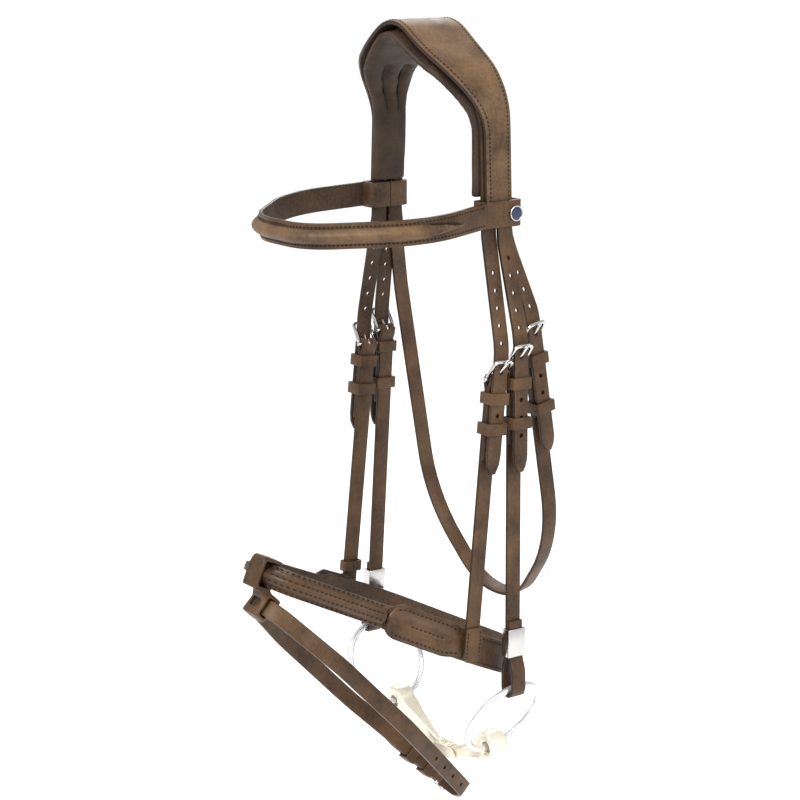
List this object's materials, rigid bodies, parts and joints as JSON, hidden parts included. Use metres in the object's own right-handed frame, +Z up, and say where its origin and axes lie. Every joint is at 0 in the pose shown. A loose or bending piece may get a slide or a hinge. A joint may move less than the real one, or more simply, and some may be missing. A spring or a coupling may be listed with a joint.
{
  "type": "english snaffle bridle",
  "caption": "English leather bridle: padded headpiece, browband, cheekpieces, padded noseband with flash strap, throatlatch and a loose-ring double-jointed snaffle bit.",
  "frame": {"origin": "the poll: the lowest point of the padded headpiece's inner face, on the middle plane, where the bridle rests on the horse's head", "axes": "+X to the bridle's near (left) side, +Y to the rear, -Y the nose, +Z up"},
  "size_m": [0.1896, 0.2489, 0.6091],
  "materials": {
    "strap_leather": "brown bridle leather, waxed, satin, edges dyed darker, stitched",
    "padded_leather": "soft brown leather over padding, matt to satin, fine grain",
    "hardware_steel": "polished stainless steel",
    "ring_steel": "pale bright satin steel",
    "mouthpiece_metal": "pale gold-coloured mouthpiece alloy, satin",
    "badge_enamel": "dark blue enamel, glossy"
  },
  "bodies": {
    "headpiece": {"headpiece_leather": "strap_leather", "headpiece_pad": "padded_leather", "noseband_headstrap": "strap_leather", "throatlatch_headstrap": "strap_leather", "browband": "strap_leather", "browband_roll": "padded_leather", "badge_bezel": "hardware_steel", "badge_face": "badge_enamel"},
    "cheeks": {"cheekpiece_near": "strap_leather", "cheekpiece_far": "strap_leather", "cheek_buckle_near": "hardware_steel", "cheek_buckle_far": "hardware_steel", "cheek_keeper_near": "strap_leather", "cheek_keeper_far": "strap_leather", "cheek_billet_tip_near": "strap_leather", "cheek_billet_tip_far": "strap_leather"},
    "noseband": {"noseband_strap": "strap_leather", "nose_roll": "padded_leather", "cheek_pad_near": "padded_leather", "cheek_pad_far": "padded_leather", "noseband_hanger_near": "strap_leather", "noseband_hanger_far": "strap_leather", "noseband_buckle_near": "hardware_steel", "noseband_buckle_far": "hardware_steel", "noseband_keeper_near": "strap_leather", "noseband_keeper_far": "strap_leather", "noseband_billet_tip_near": "strap_leather", "noseband_billet_tip_far": "strap_leather", "flash_tab": "strap_leather", "chin_chape": "strap_leather", "chin_buckle": "hardware_steel", "chin_keeper": "strap_leather", "chin_billet": "strap_leather"},
    "throatlatch": {"throatlatch_strap": "strap_leather", "throatlatch_buckle": "hardware_steel", "throatlatch_keeper": "strap_leather", "throatlatch_billet_tip": "strap_leather"},
    "flash": {"flash_strap": "strap_leather", "flash_buckle": "hardware_steel", "flash_keeper": "strap_leather"},
    "cheek_runner_near": {"cheek_runner_near": "strap_leather"},
    "cheek_tongue_near": {"cheek_tongue_near": "hardware_steel"},
    "cheek_runner_far": {"cheek_runner_far": "strap_leather"},
    "cheek_tongue_far": {"cheek_tongue_far": "hardware_steel"},
    "noseband_runner_near": {"noseband_runner_near": "strap_leather"},
    "noseband_tongue_near": {"noseband_tongue_near": "hardware_steel"},
    "noseband_runner_far": {"noseband_runner_far": "strap_leather"},
    "noseband_tongue_far": {"noseband_tongue_far": "hardware_steel"},
    "throatlatch_runner": {"throatlatch_runner": "strap_leather"},
    "throatlatch_tongue": {"throatlatch_tongue": "hardware_steel"},
    "flash_runner": {"flash_runner": "strap_leather"},
    "flash_tongue": {"flash_tongue": "hardware_steel"},
    "chin_tongue": {"chin_tongue": "hardware_steel"},
    "slide_clip_near": {"slide_clip_near": "hardware_steel"},
    "slide_clip_far": {"slide_clip_far": "hardware_steel"},
    "bit_ring_near": {"bit_ring_near": "ring_steel"},
    "bit_ring_far": {"bit_ring_far": "ring_steel"},
    "mouthpiece_arm_near": {"mouthpiece_arm_near": "mouthpiece_metal"},
    "mouthpiece_arm_far": {"mouthpiece_arm_far": "mouthpiece_metal"},
    "mouthpiece_link": {"mouthpiece_link": "mouthpiece_metal"}
  },
  "joints": [
    {"name": "cheek_swing", "type": "hinge", "parent": "headpiece", "child": "cheeks", "pos_m": [0, 0.025, -0.20779], "axis": [1, 0, 0], "range_deg": [0, 3]},
    {"name": "noseband_swing", "type": "hinge", "parent": "headpiece", "child": "noseband", "pos_m": [0, 0.00786, -0.21707], "axis": [1, 0, 0], "range_deg": [-7, 0]},
    {"name": "throatlatch_swing", "type": "hinge", "parent": "headpiece", "child": "throatlatch", "pos_m": [0, 0.0397, -0.19432], "axis": [1, 0, 0], "range_deg": [0, 10]},
    {"name": "flash_swing", "type": "hinge", "parent": "noseband", "child": "flash", "pos_m": [0, -0.144, -0.395], "axis": [1, 0, 0], "range_deg": [-8, 0]},
    {"name": "cheek_runner_slide_near", "type": "slide", "parent": "cheeks", "child": "cheek_runner_near", "axis": [-0.0436, 0.0262, 0.9987], "range_m": [-0.0227, 0.0185]},
    {"name": "cheek_tongue_turn_near", "type": "hinge", "parent": "cheeks", "child": "cheek_tongue_near", "pos_m": [0.0775, 0.0245, -0.227], "axis": [0, 0.9997, -0.0262], "range_deg": [0, 20]},
    {"name": "cheek_runner_slide_far", "type": "slide", "parent": "cheeks", "child": "cheek_runner_far", "axis": [0.0436, 0.0262, 0.9987], "range_m": [-0.0227, 0.0185]},
    {"name": "cheek_tongue_turn_far", "type": "hinge", "parent": "cheeks", "child": "cheek_tongue_far", "pos_m": [-0.0775, 0.0245, -0.227], "axis": [0, -0.9997, 0.0262], "range_deg": [0, 20]},
    {"name": "noseband_runner_slide_near", "type": "slide", "parent": "noseband", "child": "noseband_runner_near", "axis": [-0.0087, 0.0976, 0.9952], "range_m": [-0.0198, 0.0115]},
    {"name": "noseband_tongue_turn_near", "type": "hinge", "parent": "noseband", "child": "noseband_tongue_near", "pos_m": [0.0764, 0.006, -0.236], "axis": [0, 0.9952, -0.0976], "range_deg": [0, 20]},
    {"name": "noseband_runner_slide_far", "type": "slide", "parent": "noseband", "child": "noseband_runner_far", "axis": [0.0087, 0.0976, 0.9952], "range_m": [-0.0198, 0.0115]},
    {"name": "noseband_tongue_turn_far", "type": "hinge", "parent": "noseband", "child": "noseband_tongue_far", "pos_m": [-0.0764, 0.006, -0.236], "axis": [0, -0.9952, 0.0976], "range_deg": [0, 20]},
    {"name": "throatlatch_runner_slide", "type": "slide", "parent": "throatlatch", "child": "throatlatch_runner", "axis": [0, -0.1736, 0.9848], "range_m": [-0.0208, 0.0265]},
    {"name": "throatlatch_tongue_turn", "type": "hinge", "parent": "throatlatch", "child": "throatlatch_tongue", "pos_m": [0.072, 0.043, -0.213], "axis": [0, 0.9848, 0.1736], "range_deg": [0, 20]},
    {"name": "flash_runner_slide", "type": "slide", "parent": "flash", "child": "flash_runner", "axis": [0.2696, 0.6641, -0.6974], "range_m": [-0.014, 0.008]},
    {"name": "flash_tongue_turn", "type": "hinge", "parent": "flash", "child": "flash_tongue", "pos_m": [-0.01, 0.0284, -0.57604], "axis": [0, 0.7242, 0.6896], "range_deg": [0, 20]},
    {"name": "chin_tongue_turn", "type": "hinge", "parent": "noseband", "child": "chin_tongue", "pos_m": [-0.04726, 0.06033, -0.46971], "axis": [0, 0.4384, 0.8988], "range_deg": [0, 20]},
    {"name": "slide_clip_travel_near", "type": "slide", "parent": "cheeks", "child": "slide_clip_near", "axis": [-0.0436, 0.0262, 0.9987], "range_m": [0, 0.06]},
    {"name": "slide_clip_travel_far", "type": "slide", "parent": "cheeks", "child": "slide_clip_far", "axis": [0.0436, 0.0262, 0.9987], "range_m": [0, 0.06]},
    {"name": "ring_tilt_near", "type": "hinge", "parent": "cheeks", "child": "bit_ring_near", "pos_m": [0.08806, 0.01817, -0.46869], "axis": [0, 0.9945, 0.1045], "range_deg": [-2, 2]},
    {"name": "ring_tilt_far", "type": "hinge", "parent": "cheeks", "child": "bit_ring_far", "pos_m": [-0.08806, 0.01817, -0.46869], "axis": [0, -0.9945, -0.1045], "range_deg": [-2, 2]},
    {"name": "arm_turn_near", "type": "hinge", "parent": "bit_ring_near", "child": "mouthpiece_arm_near", "pos_m": [0.05754, 0.02417, -0.52576], "axis": [0, 0.9945, 0.1045], "range_deg": [-6.91, 6.91]},
    {"name": "link_turn", "type": "hinge", "parent": "mouthpiece_arm_near", "child": "mouthpiece_link", "pos_m": [0.009, 0.02664, -0.54929], "axis": [0, 0.9945, 0.1045], "range_deg": [-4.91, 4.91]},
    {"name": "arm_turn_far", "type": "hinge", "parent": "mouthpiece_link", "child": "mouthpiece_arm_far", "pos_m": [-0.009, 0.02664, -0.54929], "axis": [0, 0.9945, 0.1045], "range_deg": [-4.91, 4.91]}
  ],
  "couplings": [
    {"joint": "ring_tilt_far", "follows": "ring_tilt_near", "ratio": 1},
    {"joint": "arm_turn_near", "follows": "ring_tilt_near", "ratio": -3.428},
    {"joint": "link_turn", "follows": "ring_tilt_near", "ratio": 2.428},
    {"joint": "arm_turn_far", "follows": "ring_tilt_near", "ratio": 2.428}
  ]
}
